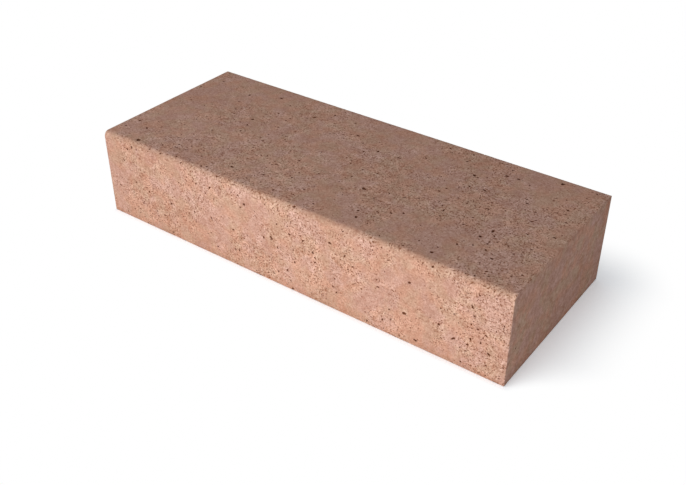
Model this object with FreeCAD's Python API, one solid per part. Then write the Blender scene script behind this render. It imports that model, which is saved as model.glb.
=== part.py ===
import FreeCAD, Part
import os
from FreeCAD import Vector

# Cast concrete step block: one solid, in millimetres, +Z up.
# The origin is the middle of the underside. +X runs along the step, and -Y is the front,
# the side that a person climbing meets first.

length = 1000.0        # end to end, along X
tread_depth = 400.0    # front to back, along Y
rise = 200.0           # underside to tread, along Z
nose_radius = 12.0     # the rounded edge between front and tread
arris_radius = 1.0     # the slight rounding that the mould leaves on every other edge

in_plane = 1e-6        # how near to a plane an edge's middle lies when it is in it
smooth_turn = 0.01     # faces that turn by less than this, in radians, run on smoothly


def is_nose(edge):
    """True for the long edge where the front meets the tread."""
    middle = edge.CenterOfMass
    at_front = abs(middle.y + tread_depth / 2) < in_plane
    at_top = abs(middle.z - rise) < in_plane
    return at_front and at_top


def is_sharp(block, edge):
    """True where the two faces beside an edge meet at an angle."""
    middle = edge.valueAt((edge.FirstParameter + edge.LastParameter) / 2)
    beside = block.ancestorsOfType(edge, Part.Face)
    normals = [face.normalAt(*face.Surface.parameter(middle)) for face in beside]
    return normals[0].getAngle(normals[1]) > smooth_turn


def step_block():
    """A plain block whose nose is rounded first, and then every edge that is still sharp."""
    front_left_corner = Vector(-length / 2, -tread_depth / 2, 0)
    block = Part.makeBox(length, tread_depth, rise, front_left_corner)
    nose = [edge for edge in block.Edges if is_nose(edge)]
    block = block.makeFillet(nose_radius, nose).Solids[0]
    sharp = [edge for edge in block.Edges if is_sharp(block, edge)]
    return block.makeFillet(arris_radius, sharp).Solids[0]


os.makedirs("parts", exist_ok=True)
step_block().exportStep("parts/step_block.step")
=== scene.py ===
import math
import random

import bpy
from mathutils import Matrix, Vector, geometry, noise


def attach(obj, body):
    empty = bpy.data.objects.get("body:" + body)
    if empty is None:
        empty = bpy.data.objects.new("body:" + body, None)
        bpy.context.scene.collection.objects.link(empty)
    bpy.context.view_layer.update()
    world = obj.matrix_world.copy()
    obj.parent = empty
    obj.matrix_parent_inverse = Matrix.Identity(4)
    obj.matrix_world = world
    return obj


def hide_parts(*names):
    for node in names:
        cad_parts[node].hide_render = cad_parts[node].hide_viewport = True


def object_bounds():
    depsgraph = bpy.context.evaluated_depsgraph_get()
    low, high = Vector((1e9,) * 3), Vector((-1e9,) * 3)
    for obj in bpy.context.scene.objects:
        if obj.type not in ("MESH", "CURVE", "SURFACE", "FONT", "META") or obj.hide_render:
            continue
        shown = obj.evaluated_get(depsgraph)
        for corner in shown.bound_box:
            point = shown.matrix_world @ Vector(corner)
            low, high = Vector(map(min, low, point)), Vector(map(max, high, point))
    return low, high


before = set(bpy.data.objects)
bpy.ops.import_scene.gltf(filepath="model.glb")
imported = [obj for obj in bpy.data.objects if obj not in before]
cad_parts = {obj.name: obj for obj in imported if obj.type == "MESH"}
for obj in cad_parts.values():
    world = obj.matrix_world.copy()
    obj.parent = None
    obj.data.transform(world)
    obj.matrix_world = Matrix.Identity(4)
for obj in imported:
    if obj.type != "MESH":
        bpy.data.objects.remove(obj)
cadLow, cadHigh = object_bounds()
print("frame loaded")

quarter = math.pi / 2

# the block: one casting, so one mesh with its pits cut in for real
block = {
    "name": "cast_block",
    "node": "step_block",
    "slot": "cast_concrete",
    "seed": 41,
    "noseRadius": 0.012,
    "arrisRadius": 0.001,
    "endArrisRadius": 0.0008,   # a little less than the arris, so the end faces keep a round outline
    "meshStep": 0.0062,         # between the points of a seen face
    "hiddenMeshStep": 0.014,    # and of the underside
    "edgeStep": 0.0032,         # along every rounded edge
    "arrisRows": 3,
    "noseRows": 8,
    "endRows": 3,
    "pitClearance": 0.35,       # of a mesh step, between a face's loose points and a pit
    "cornerClearance": 0.5,     # and between them and the nose's round corner
    "sharpAngle": 42,           # degrees
    "swell": 0.00028,           # how far the faces wander in from flat
    "swellSize": 0.11,
    "ripple": 0.00009,
    "rippleSize": 0.021,
    "edgeWear": 0.0003,         # and how far the edges are rubbed back
    "noseWear": 0.0009,
    "edgeWearSize": 0.017,
    "leastInset": 0.00001,      # so nothing reaches the plain block's own surface
}

# air holes left in the cast faces: how many to the square metre, by radius in metres
pitSizes = {
    "large": {"radius": (0.0021, 0.0034), "deep": (0.75, 1.15), "turnPoints": 13},
    "middling": {"radius": (0.0012, 0.0021), "deep": (0.8, 1.3), "turnPoints": 9},
    "small": {"radius": (0.0006, 0.0012), "deep": (0.9, 1.4), "turnPoints": 6},
}
pitsPerSquareMetre = {
    "front": {"large": 15, "middling": 470, "small": 1600},
    "back": {"large": 25, "middling": 460, "small": 1400},
    "top": {"large": 70, "middling": 560, "small": 1000},
    "underside": {"large": 10, "middling": 40, "small": 0},
    "leftEnd": {"large": 0, "middling": 25, "small": 130},
    "rightEnd": {"large": 0, "middling": 25, "small": 130},
}
# how the pits are spread and meshed
pitLaying = {
    "tries": 40,            # places tried for each pit that is wanted
    "apart": 1.45,          # least distance between two, over their reaches added up
    "gap": 0.0002,
    "cover": 1.32,          # how far round a pit the face's own points stay off, over its reach
    "border": 1.4,          # how far it keeps from the border of its face, over its reach
    "standoutTurn": 0.12,   # the standout pits lie along the block, within this share of a half turn
    "innerRing": 0.7,       # a ring inside this share of the radius has fewer points
    "innerPoints": 0.6,
    "shadeByDepth": 1.6,    # a pit's painted shade is at its darkest before its full depth
}
# rings of a pit from its lip inwards: share of its radius, share of its depth
pitRings = {
    "large": [(1.2, 0), (1, 0), (0.87, 0.55), (0.52, 0.93)],
    "middling": [(1.24, 0), (1, 0), (0.8, 0.62)],
    "small": [(1.3, 0), (1, 0), (0.6, 0.8)],
}
# the pits that catch the eye: metres from the left end, metres up from the ground or back from
# the nose, radius, how much longer than wide
standoutPits = {
    "front": [
        (0.085, 0.187, 0.0026, 1.2), (0.070, 0.178, 0.0023, 1.1), (0.310, 0.166, 0.0027, 1.2),
        (0.190, 0.084, 0.0025, 1.3), (0.575, 0.114, 0.0024, 1.1), (0.616, 0.153, 0.0025, 1.4),
        (0.795, 0.139, 0.0027, 1.3), (0.787, 0.065, 0.0031, 1.5), (0.814, 0.014, 0.0026, 1.3),
        (0.861, 0.075, 0.0024, 1.1), (0.964, 0.057, 0.0027, 1.2),
    ],
    "top": [
        (0.905, 0.385, 0.0036, 1.3), (0.800, 0.375, 0.0024, 1.3), (0.825, 0.350, 0.0028, 1.3),
        (0.955, 0.300, 0.0025, 1.2), (0.975, 0.200, 0.0027, 1.2), (0.585, 0.282, 0.0024, 1.9),
        (0.330, 0.327, 0.0024, 1.3), (0.425, 0.150, 0.0024, 1.2), (0.645, 0.045, 0.0030, 1.2),
        (0.635, 0.066, 0.0025, 1.3), (0.690, 0.095, 0.0025, 1.2), (0.090, 0.018, 0.0042, 1.4),
        (0.175, 0.055, 0.0024, 1.2), (0.915, 0.075, 0.0028, 1.2), (0.820, 0.030, 0.0030, 1.3),
    ],
}


# The plain block is a sheet wrapped round its length, with u along the block and s round it.

def makeProfile(low, high):
    # the outline across the block, from the middle of the underside, round by the front
    arris = block["arrisRadius"]
    corners = [
        (Vector((low.y, low.z)), arris, block["arrisRows"]),
        (Vector((low.y, high.z)), block["noseRadius"], block["noseRows"]),
        (Vector((high.y, high.z)), arris, block["arrisRows"]),
        (Vector((high.y, low.z)), arris, block["arrisRows"]),
    ]
    sides = ["undersideFront", "front", "top", "back", "undersideBack"]
    place = Vector(((low.y + high.y) / 2, low.z))
    start = place.copy()
    heading = Vector((-1, 0))
    travelled = 0
    stretches = []

    def add(length, name, radius=0, rows=0):
        nonlocal travelled
        stretches.append({
            "from": travelled, "length": length, "place": place.copy(),
            "heading": heading.copy(), "radius": radius, "rows": rows, "name": name,
        })
        travelled += length

    for side, (corner, radius, rows) in zip(sides, corners):
        run = (corner - place).dot(heading) - radius
        add(run, side)
        place = place + heading * run
        inward = Vector((heading.y, -heading.x))
        add(radius * quarter, "edge", radius, rows)
        place = place + (heading + inward) * radius
        heading = inward
    add((start - place).dot(heading), sides[-1])
    return stretches, travelled


def onProfile(s):
    # place on the outline and the way it faces
    stretch = next(x for x in reversed(stretches) if s >= x["from"] or x is stretches[0])
    along = s - stretch["from"]
    heading = stretch["heading"]
    inward = Vector((heading.y, -heading.x))
    if stretch["radius"] == 0:
        return stretch["place"] + heading * along, -inward
    turn = along / stretch["radius"]
    outward = heading * math.sin(turn) - inward * math.cos(turn)
    return stretch["place"] + (inward + outward) * stretch["radius"], outward


def onWrap(u, s):
    # the sheet's point in space and its outward direction: u runs along the block, s round it
    place, outward = onProfile(s)
    radius = block["endArrisRadius"]
    fromEnd = min(u, wrapLength - u)
    sideways = -1 if u < wrapLength / 2 else 1
    end = cadLow.x if sideways < 0 else cadHigh.x
    if fromEnd >= radius * quarter:
        inFromEnd = fromEnd - radius * quarter + radius
        normal = Vector((0, outward.x, outward.y))
        return Vector((end - sideways * inFromEnd, place.x, place.y)), normal
    turn = fromEnd / radius
    inset = outward * radius * (1 - math.sin(turn))
    x = end - sideways * radius * (1 - math.cos(turn))
    normal = Vector((sideways * math.cos(turn), outward.x * math.sin(turn), outward.y * math.sin(turn)))
    return Vector((x, place.x - inset.x, place.y - inset.y)), normal


def onEnd(side, y, z):
    sideways = -1 if side == "leftEnd" else 1
    end = cadLow.x if sideways < 0 else cadHigh.x
    return Vector((end, y, z)), Vector((sideways, 0, 0))


stretches, wrapWidth = makeProfile(cadLow, cadHigh)
endArc = block["endArrisRadius"] * quarter
wrapLength = cadHigh.x - cadLow.x - 2 * block["endArrisRadius"] + 2 * endArc
sideOf = {x["name"]: x for x in stretches if x["radius"] == 0}


# pits gather in loose swarms, more of them to the right and towards the nose
swarms = {
    "repeats": 7.5,       # swarms to the metre
    "knotRepeats": 31,    # and the knots in them
    "anywhere": 0.38,
    "rightward": 0.38,
    "forward": 0.24,
    "evenly": 0.56,
    "inSwarms": 0.9,
    "inKnots": 0.8,
}


def crowding(place):
    swarm = noise.noise(place * swarms["repeats"] + Vector((3.1, 7.7, 1.9)))
    knot = noise.noise(place * swarms["knotRepeats"] + Vector((11.3, 2.9, 5.1)))
    rightward = (place.x - cadLow.x) / (cadHigh.x - cadLow.x)
    forward = (cadHigh.y - place.y) / (cadHigh.y - cadLow.y)
    share = swarms["anywhere"] + swarms["rightward"] * rightward + swarms["forward"] * forward
    return share * (swarms["evenly"] + swarms["inSwarms"] * swarm + swarms["inKnots"] * knot)


def makePit(rng, size, a, b, radius=None, stretch=None):
    kind = pitSizes[size]
    radius = radius or rng.uniform(*kind["radius"])
    return {
        "size": size, "a": a, "b": b, "radius": radius,
        "depth": radius * rng.uniform(*kind["deep"]),
        "stretch": stretch or rng.uniform(1, 1.75),
        "turn": rng.uniform(0, math.pi),
        "waves": [(k, rng.uniform(0.1, 0.55) / k, rng.uniform(0, 2 * math.pi)) for k in (2, 3, 5, 7)],
    }


class Crowd:
    # keeps pits from running into each other
    def __init__(self, cell=0.01):
        self.cell = cell
        self.cells = {}

    def near(self, a, b):
        i, j = int(a // self.cell), int(b // self.cell)
        for di in (-1, 0, 1):
            for dj in (-1, 0, 1):
                yield from self.cells.get((i + di, j + dj), [])

    def room(self, a, b, radius):
        for pit in self.near(a, b):
            apart = math.hypot(pit["a"] - a, pit["b"] - b)
            if apart < pitLaying["apart"] * (pit["radius"] * pit["stretch"] + radius) + pitLaying["gap"]:
                return False
        return True

    def covers(self, a, b, margin):
        for pit in self.near(a, b):
            apart = math.hypot(pit["a"] - a, pit["b"] - b)
            if apart < pit["radius"] * pit["stretch"] * pitLaying["cover"] + margin:
                return True
        return False

    def add(self, pit):
        key = (int(pit["a"] // self.cell), int(pit["b"] // self.cell))
        self.cells.setdefault(key, []).append(pit)


def strewPits(rng, crowd, side):
    # the standout pits first, then the rest by size, each where the swarms and its neighbours let it
    (aLow, aHigh), (bLow, bHigh) = side["a"], side["b"]
    pits = []
    for left, across, radius, stretch in standoutPits.get(side["name"], []):
        pit = makePit(rng, "large", left, side["bStart"] + across, radius, stretch)
        pit["turn"] *= pitLaying["standoutTurn"]
        crowd.add(pit)
        pits.append(pit)
    for size, perSquareMetre in pitsPerSquareMetre[side["name"]].items():
        wanted = round(perSquareMetre * (aHigh - aLow) * (bHigh - bLow))
        for _ in range(wanted * pitLaying["tries"]):
            if wanted == 0:
                break
            pit = makePit(rng, size, rng.uniform(aLow, aHigh), rng.uniform(bLow, bHigh))
            reach = pit["radius"] * pit["stretch"]
            border = reach * pitLaying["border"]
            inside = aLow + border < pit["a"] < aHigh - border
            if side["closed"]:
                inside = inside and bLow + border < pit["b"] < bHigh - border
            crowded = rng.random() > crowding(side["toSpace"](pit["a"], pit["b"])[0])
            if crowded or not inside or not crowd.room(pit["a"], pit["b"], reach):
                continue
            crowd.add(pit)
            pits.append(pit)
            wanted -= 1
    return pits


def pitPoints(pit):
    # rings of points, each with how deep it lies and how far inside the pit it is, which sets its painted
    # shade
    points = []
    for ring, (share, sink) in enumerate(pitRings[pit["size"]]):
        count = pitSizes[pit["size"]]["turnPoints"]
        if share < pitLaying["innerRing"]:
            count = max(4, round(count * pitLaying["innerPoints"]))
        for k in range(count):
            angle = 2 * math.pi * (k + ring / 2) / count
            wave = 1 + sum(amount * math.cos(n * angle + phase) for n, amount, phase in pit["waves"])
            reach = pit["radius"] * share * wave
            along, across = reach * math.cos(angle) * pit["stretch"], reach * math.sin(angle)
            c, s = math.cos(pit["turn"]), math.sin(pit["turn"])
            points.append((
                pit["a"] + along * c - across * s, pit["b"] + along * s + across * c,
                sink * pit["depth"], min(1, sink * pitLaying["shadeByDepth"]),
            ))
    points.append((pit["a"], pit["b"], pit["depth"], 1))
    return points


def spaced(start, end, step):
    count = max(1, round((end - start) / step))
    return [start + (end - start) * k / count for k in range(count + 1)]


def roundRows():
    # every s at which a row of points runs along a rounded edge
    rows = []
    for x in stretches:
        if x["radius"]:
            rows += [x["from"] + x["length"] * k / x["rows"] for k in range(x["rows"] + 1)]
    return rows


def ringRows():
    # every s of the rings round the block beside its ends
    rows = []
    for x in stretches:
        step = x["length"] / x["rows"] if x["radius"] else block["edgeStep"]
        rows += spaced(x["from"], x["from"] + x["length"], step)[:-1]
    return rows + [wrapWidth]


def fill(rng, crowd, aRange, bRange, step):
    # loose staggered points over a flat stretch, clear of the pits
    firstInset, lastInset, loose = 0.7, 0.6, 0.22   # shares of a step
    rowStep = step * math.sqrt(3) / 2
    points = []
    for j, b in enumerate(spaced(bRange[0], bRange[1], rowStep)[1:-1]):
        shift = step / 2 if j % 2 else 0
        a = aRange[0] + step * firstInset + shift
        while a < aRange[1] - step * lastInset:
            at = a + rng.uniform(-loose, loose) * step, b + rng.uniform(-loose, loose) * rowStep
            if not crowd.covers(at[0], at[1], step * block["pitClearance"]):
                points.append((at[0], at[1], 0, 0))
            a += step
    return points


def wrapPoints(rng, crowd, pits):
    ring = ringRows()
    edgeColumns = [endArc * k / block["endRows"] for k in range(block["endRows"] + 1)]
    columns = edgeColumns + [wrapLength - x for x in edgeColumns]
    points = [(u, s, 0, 0) for u in columns for s in ring]
    long = spaced(endArc, wrapLength - endArc, block["edgeStep"])
    clear = 0.0004
    for s in roundRows():
        points += [(u, s, 0, 0) for u in long[1:-1] if not crowd.covers(u, s, clear)]
    for s in (0, wrapWidth):   # the seam under the block
        points += [(u, s, 0, 0) for u in long[1:-1]]
    for x in stretches:
        if x["radius"] == 0:
            hidden = x["name"].startswith("underside")
            step = block["hiddenMeshStep"] if hidden else block["meshStep"]
            across = x["from"], x["from"] + x["length"]
            points += fill(rng, crowd, (endArc, wrapLength - endArc), across, step)
    for pit in pits:
        points += pitPoints(pit)
    return points


sliver = 1e-10   # square metres; a thinner triangle lies along a straight stretch of the outline


def triangulate(points, outline):
    # flat Delaunay triangles inside an outline, as indexes into points
    flat = [Vector((a, b)) for a, b, _, _ in points]
    made = geometry.delaunay_2d_cdt(flat, [], [outline], 1, 1e-7, True)
    places, _, triangles, origins = made[0], made[1], made[2], made[3]
    found = [x[0] if x else None for x in origins]
    if None in found:
        raise RuntimeError("the outline crosses itself")
    result = []
    for triangle in triangles:
        a, b, c = (places[k] for k in triangle)
        twiceArea = (b - a).cross(c - a)
        if abs(twiceArea) < sliver:
            continue
        order = triangle if twiceArea > 0 else triangle[::-1]
        result.append([found[k] for k in order])
    return result


def wrapSides():
    nose = block["noseRadius"] * quarter
    lip = 0.0008   # how far a face's pits run onto a neighbouring arris
    reach = {
        "undersideFront": (0, -lip), "front": (-lip, nose / 2), "top": (-nose / 2, lip),
        "back": (-lip, lip), "undersideBack": (lip, 0),
    }
    result = []
    for name, (before, after) in reach.items():
        x = sideOf[name]
        result.append({
            "name": "underside" if name.startswith("underside") else name,
            "a": (endArc, wrapLength - endArc),
            "b": (x["from"] + before, x["from"] + x["length"] + after),
            "bStart": x["from"] - (block["noseRadius"] if name == "top" else block["arrisRadius"]),
            "toSpace": onWrap, "closed": name.startswith("underside"),
        })
    return result


def endSide(name):
    inset = block["endArrisRadius"]
    return {
        "name": name,
        "a": (cadLow.y + inset, cadHigh.y - inset),
        "b": (cadLow.z + inset, cadHigh.z - inset),
        "bStart": 0, "toSpace": lambda y, z: onEnd(name, y, z), "closed": True,
    }


def inNoseCorner(y, z, margin):
    # outside the end face's rounded corner, or within margin of its rim
    radius = block["noseRadius"]
    forward, upward = cadLow.y + radius - y, z - (cadHigh.z - radius)
    return forward > 0 and upward > 0 and math.hypot(forward, upward) > radius - margin


def edgeShare(u, s):
    # 1 along the middle of a rounded edge, 0 on the flats
    x = next(x for x in reversed(stretches) if s >= x["from"] or x is stretches[0])
    share = math.sin(math.pi * (s - x["from"]) / x["length"]) if x["radius"] else 0
    fromEnd = min(u, wrapLength - u)
    endShare = math.sin(math.pi * min(1, fromEnd / endArc))
    return max(share, endShare, 0)


def wander(place, edge):
    # how far in from the plain block the cast surface lies
    def drift(size, shift):   # shift picks another stretch of the noise
        return 0.5 + 0.5 * noise.noise(place / size + Vector((shift, shift * 1.7, shift * 0.3)))

    depth = block["swell"] * drift(block["swellSize"], 5.3)
    depth += block["ripple"] * drift(block["rippleSize"], 9.1)
    reach = block["noseRadius"]
    onNose = place.y < cadLow.y + reach and place.z > cadHigh.z - reach
    wear = block["noseWear" if onNose else "edgeWear"]
    return max(block["leastInset"], depth + edge * wear * drift(block["edgeWearSize"], 2.2))


class BlockMesh:
    # gathers vertices, faces and what the material reads at each vertex
    def __init__(self):
        self.places, self.faces, self.uvs = [], [], []
        self.pit, self.edge, self.cast, self.crowd = [], [], [], []

    def vertex(self, place, normal, sink, pit, edge, cast):
        self.places.append(place - normal * (wander(place, edge) + sink))
        self.pit.append(pit)
        self.edge.append(edge)
        self.cast.append(cast)
        self.crowd.append(max(0, min(1, crowding(place))))
        return len(self.places) - 1

    def sheet(self, points, triangles, ids, uvOf, flip=False):
        for triangle in triangles:
            order = triangle[::-1] if flip else triangle
            self.faces.append([ids[k] for k in order])
            self.uvs += [uvOf(points[k][0], points[k][1]) for k in order]


mapGap = 0.012   # between the parts of the laid-out skin


def layWrap(rng, mesh):
    crowd = Crowd()
    pits = []
    for side in wrapSides():
        pits += strewPits(rng, crowd, side)
    points = wrapPoints(rng, crowd, pits)
    first = {}
    ids = []
    for u, s, sink, pit in points:
        key = (round(u, 8), 0 if s == wrapWidth else round(s, 8))
        if key not in first:
            place, normal = onWrap(u, 0 if s == wrapWidth else s)
            edge = edgeShare(u, s)
            cast = min(1, min(u, wrapLength - u) / endArc)   # 1 on the long faces, 0 on the ends
            first[key] = mesh.vertex(place, normal, sink, pit, edge, cast)
        ids.append(first[key])

    def border(test, order):
        found = [k for k, point in enumerate(points) if test(point)]
        return sorted(found, key=lambda k: order(points[k]))

    outline = border(lambda p: p[1] == 0, lambda p: p[0])
    outline += border(lambda p: p[0] == wrapLength, lambda p: p[1])[1:]
    outline += border(lambda p: p[1] == wrapWidth, lambda p: -p[0])[1:]
    outline += border(lambda p: p[0] == 0, lambda p: -p[1])[1:-1]
    triangles = triangulate(points, outline)
    size = max(wrapLength + mapGap + cadHigh.z - cadLow.z, wrapWidth)
    mesh.sheet(points, triangles, ids, lambda u, s: (u / size, s / size))
    print("wrap:", len(pits), "pits,", len(triangles), "triangles")
    return first, size


def layEnd(rng, mesh, name, first, size, mapStart):
    crowd = Crowd()
    side = endSide(name)
    u = 0 if name == "leftEnd" else wrapLength
    points, ids = [], []
    for s in ringRows()[:-1]:
        place, _ = onWrap(u, s)
        points.append((place.y, place.z, 0, 0))
        ids.append(first[(round(u, 8), round(s, 8))])
    outline = list(range(len(points)))
    pits = [x for x in strewPits(rng, crowd, side) if not inNoseCorner(x["a"], x["b"], x["radius"] * 2)]
    crowd = Crowd()
    for pit in pits:
        crowd.add(pit)
    step = block["meshStep"]
    clear = step * block["cornerClearance"]
    inner = [x for x in fill(rng, crowd, side["a"], side["b"], step) if not inNoseCorner(x[0], x[1], clear)]
    for pit in pits:
        inner += pitPoints(pit)
    for y, z, sink, shade in inner:
        place, normal = onEnd(name, y, z)
        ids.append(mesh.vertex(place, normal, sink, shade, 0, 0))
    points += inner
    triangles = triangulate(points, outline)
    across = wrapLength + mapGap
    mesh.sheet(points, triangles, ids, lambda y, z: (
        (across + z - cadLow.z) / size, (mapStart + y - cadLow.y) / size), flip=name == "leftEnd")
    print(name + ":", len(pits), "pits,", len(triangles), "triangles")


def makeBlock():
    rng = random.Random(block["seed"])
    mesh = BlockMesh()
    first, size = layWrap(rng, mesh)
    layEnd(rng, mesh, "leftEnd", first, size, mapGap)
    layEnd(rng, mesh, "rightEnd", first, size, 2 * mapGap + cadHigh.y - cadLow.y)
    data = bpy.data.meshes.new(block["name"])
    data.from_pydata(mesh.places, [], mesh.faces)
    layer = data.uv_layers.new(name="OFBake")
    layer.uv.foreach_set("vector", [x for uv in mesh.uvs for x in uv])
    read = {"pit": mesh.pit, "edge": mesh.edge, "cast": mesh.cast, "crowd": mesh.crowd}
    for name, values in read.items():
        attribute = data.attributes.new(name, "FLOAT", "POINT")
        attribute.data.foreach_set("value", values)
    data.polygons.foreach_set("use_smooth", [True] * len(data.polygons))
    data.set_sharp_from_angle(angle=math.radians(block["sharpAngle"]))
    data.validate()
    piece = bpy.data.objects.new(block["name"], data)
    bpy.context.scene.collection.objects.link(piece)
    return piece


class Value:
    # a socket's value, so that shader maths reads as plain expressions
    def __init__(self, bench, socket):
        self.bench = bench
        self.socket = socket

    def maths(self, operation, first, second):
        return self.bench.node("ShaderNodeMath", {"operation": operation}, {0: first, 1: second})

    def __add__(self, other):
        return self.maths("ADD", self, other)

    def __sub__(self, other):
        return self.maths("SUBTRACT", self, other)

    def __rsub__(self, other):
        return self.maths("SUBTRACT", other, self)

    def __mul__(self, other):
        return self.maths("MULTIPLY", self, other)

    def __pow__(self, other):
        return self.maths("POWER", self, other)

    __radd__ = __add__
    __rmul__ = __mul__


class Bench:
    # the nodes of one material, or of the world
    def __init__(self, holder):
        self.holder = holder
        holder.use_nodes = True
        self.tree = holder.node_tree
        self.tree.nodes.clear()

    def node(self, kind, settings, inputs, output=0):
        node = self.tree.nodes.new(kind)
        for key, setting in settings.items():
            setattr(node, key, setting)
        for key, given in inputs.items():
            if isinstance(given, Value):
                self.tree.links.new(given.socket, node.inputs[key])
            else:
                node.inputs[key].default_value = given
        return Value(self, node.outputs[output]) if node.outputs else None

    def noise(self, place, scale, detail=2, roughness=0.5):
        return self.node("ShaderNodeTexNoise", {}, {
            "Vector": place, "Scale": scale, "Detail": detail, "Roughness": roughness}, "Fac")

    def rise(self, value, low, high):
        # 0 below low, 1 above high, smooth between
        return self.node("ShaderNodeMapRange", {"interpolation_type": "SMOOTHSTEP"}, {
            "Value": value, "From Min": low, "From Max": high})

    def mixColour(self, share, first, second):
        return self.node("ShaderNodeMix", {"data_type": "RGBA"}, {0: share, 6: first, 7: second}, 2)

    def attribute(self, name):
        return self.node("ShaderNodeAttribute", {"attribute_name": name}, {}, "Fac")

    def vector(self, operation, first, second, output=0):
        return self.node("ShaderNodeVectorMath", {"operation": operation}, {0: first, 1: second}, output)


def rgb(red, green, blue):
    return (red, green, blue, 1)


# the concrete: tints are linear, sizes are repeats to the metre, a rise is where it starts and ends,
# and gains say how much each layer of mottling lightens and darkens
concrete = {
    "name": "pink_brown_concrete",
    "redder": rgb(0.500, 0.261, 0.186),
    "olive": rgb(0.456, 0.283, 0.204),
    "bluer": rgb(0.469, 0.270, 0.216),
    "rubbed": rgb(0.470, 0.281, 0.200),
    "dark": rgb(0.225, 0.093, 0.048),
    # painted shade inside the pits and pin holes
    "holeShade": rgb(0.112, 0.030, 0.008),
    "shadeTint": (0.77, 1.10, 1.30),   # darker paste is redder and less blue
    "tintPatches": 31,
    "tintRise": (0.38, 0.62),
    "tintEvenness": 0.42,        # how much less patchy the long faces are than the ends
    "coolPatches": 23,
    "coolRise": (0.42, 0.64),
    "coolEvenness": 0.2,
    "rubbedShare": 0.5,
    "layers": [
        # repeats, gain on the long faces, gain on the ends
        (9, 0.22, 0.34), (21, 0.14, 0.28), (48, 0.20, 0.48), (98, 0.38, 0.74),
        (205, 0.62, 0.80), (420, 0.60, 0.75),
    ],
    "layerRoughness": 0.55,
    "swarmRise": (0.12, 0.72),
    "swarmGain": 0.12,
    "swarmRoughness": 0.006,     # more gain in the swarms, for each repeat to the metre
    "roughestSwarm": 100,        # up to so many repeats
    "grains": 390,
    "grainGain": 0.26,
    "endGrain": 0.3,             # share of it on the ends
    "specks": 250,
    "speckRise": (0.345, 0.41),
    "speckThinning": 0.075,      # fewer of them outside the swarms
    "speckShare": 0.95,
    "pinHoles": 235,
    "pinRise": (0.12, 0.27),
    "pinSwarmRise": (0.25, 0.9),
    "pinShare": 0.8,
    # how high the painted contact shade at the foot reaches, and how strong it is
    "footShadeHeight": 0.016,         # metres
    "footShadeShare": 0.2,
    "pitShadeRise": (0.0, 0.8),
    "pitShadeShare": 0.92,
    "relief": 205,
    "grainRelief": 0.35,
    "pinRelief": 0.8,
    "speckRelief": 0.5,
    "bumpStrength": 0.5,
    "bumpDistance": 0.0009,      # metres
    "roughness": 0.86,
    "roughnessSpread": 0.2,
    "gloss": 0.1,
}


def makeConcrete():
    look = concrete
    bench = Bench(bpy.data.materials.new(look["name"]))
    place = bench.node("ShaderNodeTexCoord", {}, {}, "Object")
    pit, edge, cast, crowd = (bench.attribute(name) for name in ("pit", "edge", "cast", "crowd"))

    # patches of redder, of more olive and of cooler paste
    tint = bench.noise(place, look["tintPatches"])
    cool = bench.noise(place, look["coolPatches"])
    lean = (1 - look["tintEvenness"] * cast) * (bench.rise(tint, *look["tintRise"]) - 0.5)
    colour = bench.mixColour(0.5 + lean, look["redder"], look["olive"])
    cooler = (1 - look["coolEvenness"] * cast) * bench.rise(cool, *look["coolRise"])
    colour = bench.mixColour(cooler, colour, look["bluer"])

    # the rubbed edges are a little yellower
    colour = bench.mixColour(look["rubbedShare"] * edge, colour, look["rubbed"])

    # cloudy light and dark at every size, and each grain of sand a shade of its own
    swarm = bench.rise(crowd, *look["swarmRise"]) * cast
    shade = look["swarmGain"] * swarm
    for repeats, gain, endGain in look["layers"]:
        layer = bench.noise(place, repeats, 2, look["layerRoughness"]) - 0.5
        # the swarms are rougher, at the finer sizes most of all
        swarmMore = look["swarmRoughness"] * min(repeats, look["roughestSwarm"])
        shade = shade + layer * (endGain + (gain - endGain) * cast + swarmMore * swarm)
    grain = bench.node("ShaderNodeTexVoronoi", {}, {"Vector": place, "Scale": look["grains"]}, "Color")
    grainKind = bench.node("ShaderNodeSeparateColor", {}, {"Color": grain}, 0)
    grainShare = look["endGrain"] + (1 - look["endGrain"]) * cast
    shade = shade + (grainKind - 0.5) * look["grainGain"] * grainShare
    shift = bench.node("ShaderNodeVectorMath", {"operation": "SCALE"}, {
        0: look["shadeTint"], "Scale": shade})
    colour = bench.node("ShaderNodeVectorMath", {"operation": "MULTIPLY_ADD"}, {
        0: colour, 1: shift, 2: colour})

    # ragged dark specks in swarms, and pin holes too small to be cut into the mesh, painted dark for the
    # shade inside them
    speck = bench.noise(place, look["specks"], 1)
    speck = (1 - bench.rise(speck + look["speckThinning"] * (1 - swarm), *look["speckRise"])) * cast
    colour = bench.mixColour(look["speckShare"] * speck, colour, look["dark"])
    pin = bench.node("ShaderNodeTexVoronoi", {}, {"Vector": place, "Scale": look["pinHoles"]}, "Distance")
    pin = (1 - bench.rise(pin, *look["pinRise"])) * bench.rise(swarm, *look["pinSwarmRise"])
    colour = bench.mixColour(look["pinShare"] * pin, colour, look["holeShade"])

    # the foot is painted a little darker: painted contact shade where the block meets the ground
    level = bench.node("ShaderNodeSeparateXYZ", {}, {0: place}, "Z")
    foot = 1 - bench.rise(level, cadLow.z, cadLow.z + look["footShadeHeight"])
    colour = bench.mixColour(look["footShadeShare"] * foot, colour, look["dark"])

    # the pits are painted dark inside, darker where deeper: painted shade in the hollows
    colour = bench.mixColour(look["pitShadeShare"] * bench.rise(pit, *look["pitShadeRise"]), colour, look["holeShade"])

    relief = bench.noise(place, look["relief"], 3, 0.6)
    height = relief + look["grainRelief"] * grainKind - look["pinRelief"] * pin - look["speckRelief"] * speck
    bump = bench.node("ShaderNodeBump", {}, {
        "Strength": look["bumpStrength"], "Distance": look["bumpDistance"], "Height": height}, "Normal")
    shader = bench.node("ShaderNodeBsdfPrincipled", {}, {
        "Base Color": colour, "Roughness": look["roughness"] + look["roughnessSpread"] * (relief - 0.5),
        "Specular IOR Level": look["gloss"], "Normal": bump})
    bench.node("ShaderNodeOutputMaterial", {}, {"Surface": shader})
    return bench.holder


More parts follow.
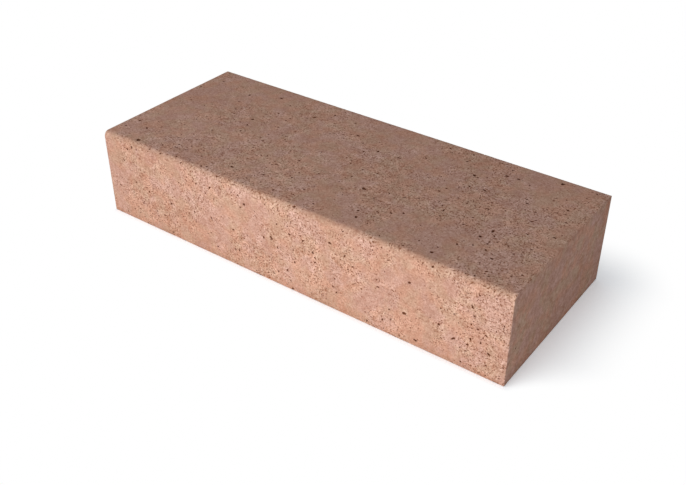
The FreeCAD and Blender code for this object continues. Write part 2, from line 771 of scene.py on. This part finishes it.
# the studio: a low soft light in front, a higher one from the front left, and an even sky
studio = {
    "sky": 0.442,
    "skyTint": rgb(0.96, 0.985, 1.0),
    "floorSize": 12,
    "floorColour": rgb(0.85, 0.85, 0.85),
    "floorSeen": rgb(1.18, 1.23, 1.29),   # for the camera alone, brighter than it lights the block
    "floorGlow": 0.124,
    "fadeOver": 0.165,     # metres from the block over which the floor turns plain white
    "fadeBend": 0.75,      # under 1 for more of it near the block
    "sunnyLeft": 8,        # how much sooner it does so to the left, where no shadow falls
    "openFrom": -0.03,     # the shadow opens out between these distances behind the front, in metres
    "openTo": 0.15,
    "openLeast": 0.04,     # from this share of its full width
    "lights": [
        {"name": "front_softbox", "azimuth": 6, "elevation": 5.5, "distance": 2.2, "size": (2.0, 0.4),
         "level": 0.695, "tint": (1, 0.975, 0.92)},
        {"name": "left_softbox", "azimuth": -34, "elevation": 50, "distance": 2.4, "size": (1.2, 1.2),
         "level": 0.2, "tint": (1, 1, 1)},
    ],
}
cameraView = {"azimuth": 36.31, "elevation": 34.16, "distance": 2.012, "drop": 0.001, "lens": 48.45}


def direction(azimuth, elevation):
    a, e = math.radians(azimuth), math.radians(elevation)
    return Vector((math.sin(a) * math.cos(e), -math.cos(a) * math.cos(e), math.sin(e)))


def seenDirectly(bench):
    # 1 for what the camera sees, straight or in a gloss or through glass
    def ray(output):
        return bench.node("ShaderNodeLightPath", {}, {}, output)

    total = ray("Is Camera Ray") + ray("Is Glossy Ray") + ray("Is Transmission Ray")
    return bench.node("ShaderNodeClamp", {}, {"Value": total})


def makeFloor():
    half = studio["floorSize"] / 2
    data = bpy.data.meshes.new("floor")
    corners = [(-half, -half, 0), (half, -half, 0), (half, half, 0), (-half, half, 0)]
    data.from_pydata(corners, [], [(0, 1, 2, 3)])
    floor = bpy.data.objects.new("floor", data)
    bpy.context.scene.collection.objects.link(floor)
    floor.location.z = cadLow.z
    bench = Bench(bpy.data.materials.new("pale_floor"))
    lit = bench.node("ShaderNodeBsdfDiffuse", {}, {"Color": studio["floorColour"]})
    seen = bench.node("ShaderNodeBsdfDiffuse", {}, {"Color": studio["floorSeen"]})
    glow = bench.node("ShaderNodeEmission", {}, {"Strength": studio["floorGlow"]})
    seen = bench.node("ShaderNodeAddShader", {}, {0: seen, 1: glow})

    # how far a point of the floor lies from the block's footprint
    place = bench.node("ShaderNodeTexCoord", {}, {}, "Object")
    shadySide = bench.vector("MAXIMUM", bench.vector("SUBTRACT", place, cadHigh), (0, 0, 0))
    sunnySide = bench.vector("MAXIMUM", bench.vector("SUBTRACT", cadLow, place), (0, 0, 0))
    sunnySide = bench.vector("MULTIPLY", sunnySide, (-studio["sunnyLeft"], -1, -1))
    away = bench.vector("DISTANCE", shadySide, sunnySide, "Value")

    # the floor's shadow, which opens out from the front corner and fades to plain white
    back = bench.node("ShaderNodeSeparateXYZ", {}, {0: place}, "Y")
    opened = bench.rise(back, cadLow.y + studio["openFrom"], cadLow.y + studio["openTo"])
    opening = studio["openLeast"] + (1 - studio["openLeast"]) * opened
    fade = bench.rise(away, 0, studio["fadeOver"] * opening) ** studio["fadeBend"]
    white = bench.node("ShaderNodeEmission", {}, {"Strength": 1})
    seen = bench.node("ShaderNodeMixShader", {}, {0: fade, 1: seen, 2: white})
    mixed = bench.node("ShaderNodeMixShader", {}, {0: seenDirectly(bench), 1: lit, 2: seen})
    bench.node("ShaderNodeOutputMaterial", {}, {"Surface": mixed})
    data.materials.append(bench.holder)


def makeSky():
    world = bpy.data.worlds.new("studio_sky")
    bpy.context.scene.world = world
    bench = Bench(world)
    sky = bench.node("ShaderNodeBackground", {}, {"Color": studio["skyTint"], "Strength": studio["sky"]})
    white = bench.node("ShaderNodeBackground", {}, {"Color": rgb(1, 1, 1), "Strength": 1})
    mixed = bench.node("ShaderNodeMixShader", {}, {0: seenDirectly(bench), 1: sky, 2: white})
    bench.node("ShaderNodeOutputWorld", {}, {"Surface": mixed})


def makeLights():
    middle = (cadLow + cadHigh) / 2
    for look in studio["lights"]:
        data = bpy.data.lights.new(look["name"], "AREA")
        data.shape = "RECTANGLE"
        data.size, data.size_y = look["size"]
        # level is what a white card facing the light would return
        data.energy = look["level"] * (math.pi * look["distance"]) ** 2
        data.color = look["tint"]
        light = bpy.data.objects.new(look["name"], data)
        bpy.context.scene.collection.objects.link(light)
        back = direction(look["azimuth"], look["elevation"])
        light.location = middle + back * look["distance"]
        light.rotation_mode = "QUATERNION"
        light.rotation_quaternion = (-back).to_track_quat("-Z", "Y")
        light.visible_camera = False


def makeCamera():
    data = bpy.data.cameras.new("camera")
    data.lens = cameraView["lens"]
    camera = bpy.data.objects.new("camera", data)
    bpy.context.scene.collection.objects.link(camera)
    back = direction(cameraView["azimuth"], cameraView["elevation"])
    across = Vector((-back.y, back.x, 0)).normalized()
    up = back.cross(across)
    foot = Vector(((cadLow.x + cadHigh.x) / 2, (cadLow.y + cadHigh.y) / 2, cadLow.z))
    camera.location = foot + back * cameraView["distance"] - up * cameraView["drop"]
    camera.rotation_mode = "QUATERNION"
    camera.rotation_quaternion = (-back).to_track_quat("-Z", "Y")
    bpy.context.scene.camera = camera


makeCamera()
makeSky()
makeLights()
makeFloor()
print("studio ready")
castBlock = makeBlock()
print("block cast:", len(castBlock.data.polygons), "triangles")
castBlock.data.materials.append(makeConcrete())
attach(castBlock, "root")
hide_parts(block["node"])
bpy.context.scene.view_settings.view_transform = "Standard"
print("concrete coloured")
